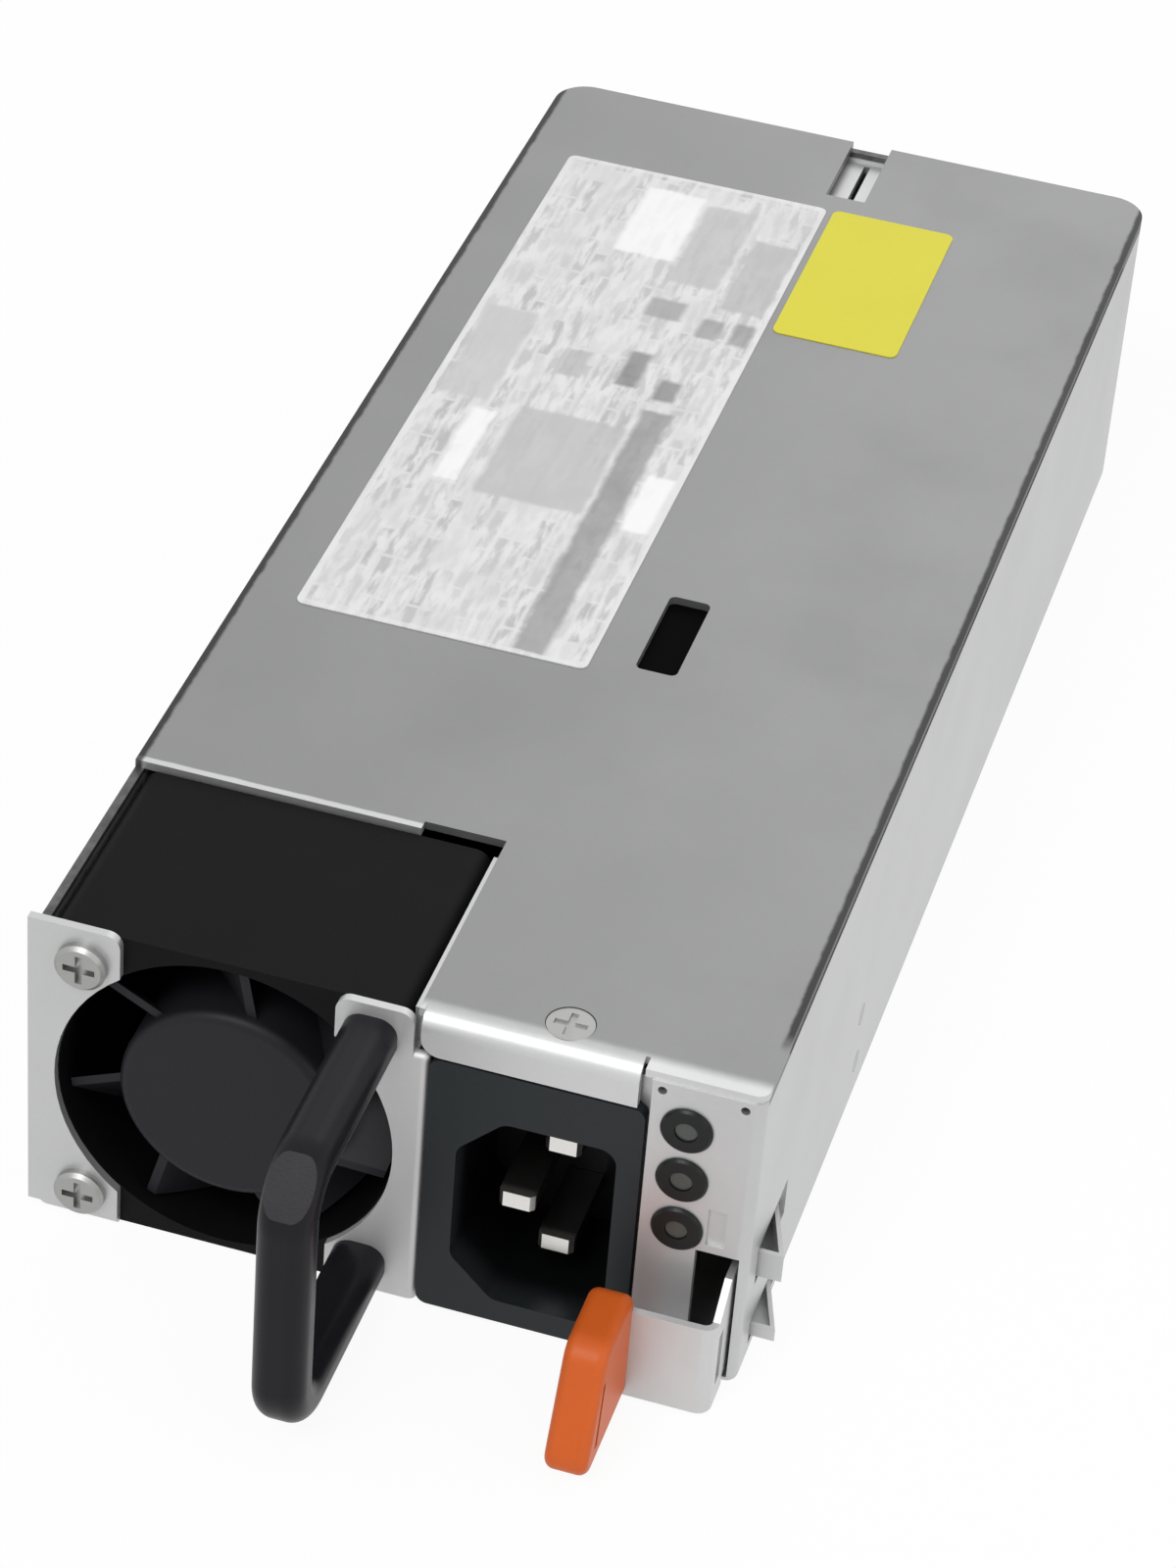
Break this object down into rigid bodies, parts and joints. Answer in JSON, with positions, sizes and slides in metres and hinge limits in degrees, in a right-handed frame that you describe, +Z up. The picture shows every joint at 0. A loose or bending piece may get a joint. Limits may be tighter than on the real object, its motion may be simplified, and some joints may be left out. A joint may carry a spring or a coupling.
{
  "type": "hot swap server power supply",
  "caption": "Slim metal-cased power supply for a server bay, with a fan, pull handle, mains inlet, status lamps, a sprung side latch with a release tab, and a card edge at the back.",
  "frame": {"origin": "centre of the underside of the metal housing", "axes": "+X right seen from the front, +Y from the handle end towards the card edge, +Z up"},
  "size_m": [0.0835, 0.2282, 0.0406],
  "materials": {
    "sheet_steel": "zinc plated sheet, satin",
    "bright_steel": "bright plated",
    "rivet_steel": "plain",
    "black_plastic": "fine texture",
    "fan_plastic": "fine texture",
    "hub_plastic": "satin",
    "inlet_plastic": "fine texture",
    "orange_plastic": "satin",
    "pin_metal": "bright nickel",
    "light_pipe": "clear",
    "lamp_rim": "satin",
    "board_green": "solder mask",
    "gold": "gold plated",
    "film": "clear tinted",
    "relay_blue": "moulded",
    "capacitor_yellow": "moulded",
    "ferrite": "sintered",
    "copper": "enamelled copper",
    "capacitor_sleeve": "shrink sleeve",
    "fuse_ceramic": "glazed",
    "heat_sink": "extruded",
    "package_black": "moulded",
    "white_nylon": "moulded",
    "lead_sleeve": "soft",
    "magnet": "bonded",
    "shaft_steel": "ground"
  },
  "bodies": {
    "housing": {"chassis": "sheet_steel", "top_cover": "sheet_steel", "cover_screw": "bright_steel", "centre_bracket": "sheet_steel", "inlet_bracket": "sheet_steel", "bracket_rivets": "rivet_steel", "fan_frame": "fan_plastic", "fan_bearings": "shaft_steel", "stator_core": "rivet_steel", "stator_coils": "copper", "fan_driver_board": "board_green", "fan_screws": "bright_steel", "handle_screws": "bright_steel", "handle": "black_plastic", "inlet_body": "inlet_plastic", "pin_line": "pin_metal", "pin_neutral": "pin_metal", "pin_earth": "pin_metal", "inlet_leads": "lead_sleeve", "lamp_rings": "lamp_rim", "light_pipes": "light_pipe", "status_lamps": "light_pipe", "lamp_board": "board_green", "latch_rivets": "rivet_steel", "main_board": "board_green", "gold_fingers": "gold", "board_spacers": "rivet_steel", "board_screws": "bright_steel", "cover_film": "film", "board_film": "film", "relay": "relay_blue", "fuse": "fuse_ceramic", "fuse_clips": "bright_steel", "x_capacitor": "capacitor_yellow", "filter_choke_core": "ferrite", "filter_choke_winding": "copper", "boost_choke_core": "ferrite", "boost_choke_winding": "copper", "bulk_capacitors": "capacitor_sleeve", "primary_heat_sink": "heat_sink", "power_transistors": "package_black", "bridge_rectifier": "package_black", "transformer_core": "ferrite", "transformer_winding": "copper", "secondary_heat_sink": "heat_sink", "control_board": "board_green", "output_capacitors": "capacitor_sleeve", "output_inductor": "ferrite", "output_bars": "copper", "fan_lead": "lead_sleeve", "fan_header": "white_nylon", "fan_plug": "white_nylon"},
    "fan_rotor": {"impeller": "hub_plastic", "rotor_yoke": "shaft_steel", "rotor_magnet": "magnet", "fan_shaft": "shaft_steel"},
    "latch": {"latch_leaf": "bright_steel", "release_tab": "orange_plastic"}
  },
  "joints": [
    {"name": "fan_spin", "type": "hinge", "parent": "housing", "child": "fan_rotor", "pos_m": [-0.0186, -0.08, 0.02], "axis": [0, 1, 0], "continuous": true},
    {"name": "latch_flex", "type": "hinge", "parent": "housing", "child": "latch", "pos_m": [0.0382, -0.045, 0.0087], "axis": [0, 0, -1], "range_deg": [0, 3.8], "stiffness_Nm_per_rad": 1, "springref_deg": -5.73}
  ]
}
